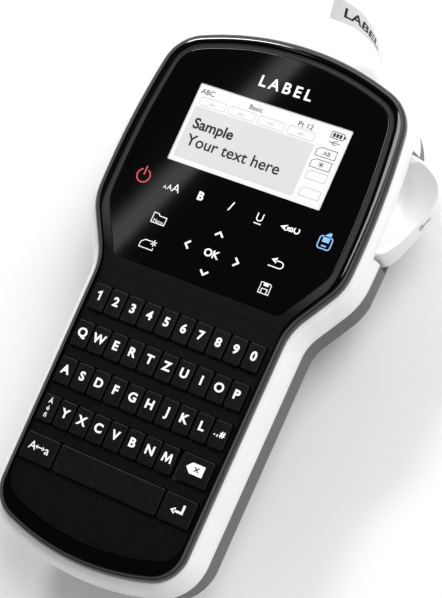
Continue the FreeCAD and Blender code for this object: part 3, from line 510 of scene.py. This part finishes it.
enter = ribbon([(-1.2, -0.9), (1.9, -0.9), (1.9, 1.9)], 0.8) + [[(-2.4, -0.9), (-0.7, -2.1), (-0.7, 0.3)]]
legend("key_enter", "enter", plate(enter))
tablet = [(-3.3, 0), (-1.5, -1.9), (3.2, -1.9), (3.2, 1.9), (-1.5, 1.9)]
tablet_thick = 0.008
legend("key_backspace", "backspace", plate([tablet], tablet_thick))
cross = ribbon([(-0.8, -0.8), (0.8, 0.8)], 0.42) + ribbon([(-0.8, 0.8), (0.8, -0.8)], 0.42)
legend("key_backspace", "backspace_cross", plate(cross, 2 * tablet_thick), dx=0.6, ink=INK_BLACK)


# ---------------------------------------------------------------- scissors on the cutter lever

def on_flank(y, z):
    """Place on the lever's outer side, with its own X along the lever, its Y up and its Z outwards."""
    lever = nodes["cutter_lever"]
    outside_x = 80
    _, spot, normal, _ = lever.ray_cast(at(outside_x, y, z), Vector((-1, 0, 0)))
    across = Vector((0, 0, 1)).cross(normal).normalized()
    up = normal.cross(across)
    place = Matrix((across, up, normal)).transposed().to_4x4()
    place.translation = spot
    return place


scissors = []
for flip in (-1, 1):
    scissors += ribbon(arc(-2.0, 1.0 * flip, 0.75, 0, 360, 14), 0.36)
    scissors += ribbon([(-1.4, 0.6 * flip), (2.9, -1.0 * flip)], 0.42)
piece("scissors_mark", plate(scissors), INK_BLACK, "cutter_lever", on_flank(55.5, 33.6))


# ---------------------------------------------------------------- label

# Centre line and width direction of the label past the blade, through the same places as in the CAD.
LABEL_STATIONS = [
    ((23.6, 85.4, 12.2), (0.0, 0.0, -1.0)),
    ((23.6, 92.0, 12.2), (0.0, 0.0, -1.0)),
    ((23.5, 97.5, 12.2), (0.0, 0.0, -1.0)),
    ((22.3, 104.5, 12.6), (-0.10, 0.08, -0.99)),
    ((19.3, 112.2, 13.6), (-0.20, 0.14, -0.97)),
    ((13.3, 120.4, 15.4), (-0.26, 0.00, -0.965)),
    ((4.2, 126.0, 17.6), (-0.26, -0.22, -0.94)),
    ((-7.0, 127.6, 19.6), (-0.25, -0.42, -0.87)),
]
LAST_STATION = len(LABEL_STATIONS) - 1
LABEL_WIDTH = 12.0
LABEL_THICK = 0.18
LABEL_PRINT_GAP = 0.02
FEED_Y = (62.0, 73.0, 84.4)     # places along the tape that runs straight from the cassette to the blade


def smooth(values, t):
    """Point at t, in stations, on the smooth curve through values."""
    i = min(int(t), len(values) - 2)
    f = t - i
    p0, p1 = Vector(values[max(i - 1, 0)]), Vector(values[i])
    p2, p3 = Vector(values[i + 1]), Vector(values[min(i + 2, len(values) - 1)])
    return 0.5 * (2 * p1 + (p2 - p0) * f + (2 * p0 - 5 * p1 + 4 * p2 - p3) * f * f
                  + (3 * p1 - p0 - 3 * p2 + p3) * f ** 3)


def label_frame(t):
    """Centre, width direction and face direction of the label at station t, in millimetres."""
    centres = [c for c, _ in LABEL_STATIONS]
    centre = smooth(centres, t)
    before, after = max(t - 0.02, 0), min(t + 0.02, LAST_STATION)
    run = (smooth(centres, after) - smooth(centres, before)).normalized()
    across = smooth([a for _, a in LABEL_STATIONS], t)
    across = (across - run * across.dot(run)).normalized()
    return centre, across, run.cross(across)


def add_strip(bm, frames):
    """Adds a closed strip of tape through (centre, width direction, face direction) frames."""
    rows = []
    for centre, across, face in frames:
        row = []
        for side, depth in ((-1, -1), (0, -1), (1, -1), (1, 1), (0, 1), (-1, 1)):
            p = centre + across * (side * LABEL_WIDTH / 2) + face * (depth * LABEL_THICK / 2)
            row.append(bm.verts.new(at(*p)))
        rows.append(row)
    for a, b in zip(rows, rows[1:]):
        for k in range(6):
            bm.faces.new((a[k], a[(k + 1) % 6], b[(k + 1) % 6], b[k]))
    bm.faces.new(rows[0])
    bm.faces.new(rows[-1][::-1])


def make_label():
    """The printed label past the blade, and the tape that feeds it."""
    mesh = bpy.data.meshes.new("label")
    bm = bmesh.new()
    steps = 72
    add_strip(bm, [label_frame(LAST_STATION * i / steps) for i in range(steps + 1)])
    (x, _, z), across = LABEL_STATIONS[0]
    across = Vector(across)
    face = Vector((0, 1, 0)).cross(across)
    add_strip(bm, [(Vector((x, y, z)), across, face) for y in FEED_Y])
    bmesh.ops.recalc_face_normals(bm, faces=bm.faces)
    bm.to_mesh(mesh)
    bm.free()
    return mesh


label = piece("printed_label", make_label(), BY_SLOT["label_white"])
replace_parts(label, "label_tape")


def print_on_label(name, text, height, start):
    """Words along the label, read from its free end, wrapped on to its curve. Both height and start,
    the bare tape before the words, are in millimetres."""
    steps = 200
    lengths = [0.0]
    for i in range(steps):
        a, b = (label_frame(LAST_STATION * k / steps)[0] for k in (i, i + 1))
        lengths.append(lengths[-1] + (b - a).length)
    mesh = lettering(text, height, 0.025)
    half_width = max(v.co.x for v in mesh.vertices)
    bm = bmesh.new()
    bm.from_mesh(mesh)
    bmesh.ops.triangulate(bm, faces=bm.faces)
    # Cuts a millimetre apart, clear of the letters' own edges, let the words bend with the label.
    for k in range(-20, 21):
        bmesh.ops.bisect_plane(bm, geom=bm.verts[:] + bm.edges[:] + bm.faces[:],
                               plane_co=((k + 0.37) * MM, 0, 0), plane_no=(1, 0, 0))
    for v in bm.verts:
        along = lengths[-1] - start - (v.co.x + half_width) / MM
        i = max(1, next(k for k, s in enumerate(lengths) if s >= along))
        t = (i - 1 + (along - lengths[i - 1]) / (lengths[i] - lengths[i - 1])) * LAST_STATION / steps
        centre, across, face = label_frame(t)
        up = -v.co.y / MM
        lift = LABEL_THICK / 2 + LABEL_PRINT_GAP + v.co.z / MM
        v.co = at(*(centre + across * up + face * lift))
    bm.to_mesh(mesh)
    bm.free()
    piece(name, mesh, INK_BLACK)


print_on_label("label_words", "LABEL", 4.9, 5.4)


# ---------------------------------------------------------------- floor, light and camera

def floor():
    """Wide matt white floor just under the object."""
    half, thick, gap = 1500, 1, 0.2
    mesh = plate([box_outline(-half, half, -half, half)], thick)
    obj = bpy.data.objects.new("floor", mesh)
    obj.location = (0, 0, cad_box[0][2] - (thick + gap) * MM)
    bpy.context.scene.collection.objects.link(obj)
    mesh.materials.append(surface("floor", (0.86, 0.86, 0.86), 0.8, 0.03, (300, 0.01), (3, 0.01)))


def area_light(name, position, target, size, power):
    """White rectangular light, in metres and watts, that faces a target."""
    data = bpy.data.lights.new(name, "AREA")
    data.shape = "RECTANGLE"
    data.size, data.size_y = size
    data.energy = power
    obj = bpy.data.objects.new(name, data)
    obj.location = position
    obj.rotation_euler = (Vector(target) - Vector(position)).to_track_quat("-Z", "Y").to_euler()
    bpy.context.scene.collection.objects.link(obj)
    return obj


def fade_across(data):
    """Fades a light from full on its right to nothing on its left."""
    data.use_nodes = True
    tree = data.node_tree
    link = tree.links.new
    split = tree.nodes.new("ShaderNodeSeparateXYZ")
    ramp = tree.nodes.new("ShaderNodeMapRange")
    ramp.interpolation_type = "SMOOTHSTEP"
    ramp.inputs["From Max"].default_value = 0.6
    link(tree.nodes.new("ShaderNodeNewGeometry").outputs["Parametric"], split.inputs["Vector"])
    link(split.outputs["X"], ramp.inputs["Value"])
    link(ramp.outputs["Result"], tree.nodes["Emission"].inputs["Strength"])


def studio_world(horizon, zenith):
    """Soft white surround, brightest towards the head end, that darkens at the horizon and overhead,
    where flat glossy faces would mirror it."""
    world = bpy.data.worlds.new("studio")
    world.use_nodes = True
    tree = world.node_tree
    link = tree.links.new
    place = tree.nodes.new("ShaderNodeTexCoord").outputs["Generated"]
    split = tree.nodes.new("ShaderNodeSeparateXYZ")
    link(place, split.inputs["Vector"])

    def ramp(value, start, end, low, high, smooth_step=True):
        """Value that goes from low to high as another goes from start to end."""
        node = tree.nodes.new("ShaderNodeMapRange")
        if smooth_step:
            node.interpolation_type = "SMOOTHSTEP"
        for socket, number in (("From Min", start), ("From Max", end), ("To Min", low), ("To Max", high)):
            node.inputs[socket].default_value = number
        link(value, node.inputs["Value"])
        return node.outputs["Result"]

    def product(a, b):
        node = tree.nodes.new("ShaderNodeMath")
        node.operation = "MULTIPLY"
        link(a, node.inputs[0])
        link(b, node.inputs[1])
        return node.outputs["Value"]

    side = tree.nodes.new("ShaderNodeVectorMath")
    side.operation = "DOT_PRODUCT"
    side.inputs[1].default_value = (0.30, 0.95, 0.0)
    link(place, side.inputs[0])
    overhead = ramp(split.outputs["Z"], 0.40, 0.75, horizon, zenith)
    low_down = ramp(split.outputs["Z"], 0.0, 0.45, 0.15, 1.0)
    sideways = ramp(side.outputs["Value"], -1.0, 1.0, 0.4, 1.25, smooth_step=False)
    background = tree.nodes["Background"]
    background.inputs["Color"].default_value = (1.0, 1.0, 1.0, 1.0)
    link(product(product(overhead, low_down), sideways), background.inputs["Strength"])
    bpy.context.scene.world = world


floor()
studio_world(2.4, 0.02)
area_light("key", (0.50, 0.60, 1.25), (0, 0, 0), (0.8, 0.8), 14)
area_light("rim_strip", (-0.50, 0.60, 0.74), (0, 0, 0.03), (0.30, 0.12), 5)
streak = area_light("lens_streak", (-0.391, 0.226, 0.90), (-0.391, 0.226, 0), (0.036, 0.46), 0.07)
streak.rotation_euler = (0, 0, math.radians(-22.5))
fade_across(streak.data)
bpy.context.scene.view_settings.view_transform = "Standard"

# The camera's own axes and place.
RIGHT = Vector((0.8784, 0.4018, -0.2588))
UP = Vector((-0.3340, 0.9034, 0.2688))
BACK = Vector((0.3418, -0.1497, 0.9278))
CAMERA_PLACE = at(173.1, -67.6, 489.6)
camera_data = bpy.data.cameras.new("camera")
camera_data.lens = 84.28
camera_data.clip_start = 0.02
camera = bpy.data.objects.new("camera", camera_data)
facing = Matrix((RIGHT, UP, BACK)).transposed().to_4x4()
camera.matrix_world = Matrix.Translation(CAMERA_PLACE) @ facing
bpy.context.scene.collection.objects.link(camera)
bpy.context.scene.camera = camera
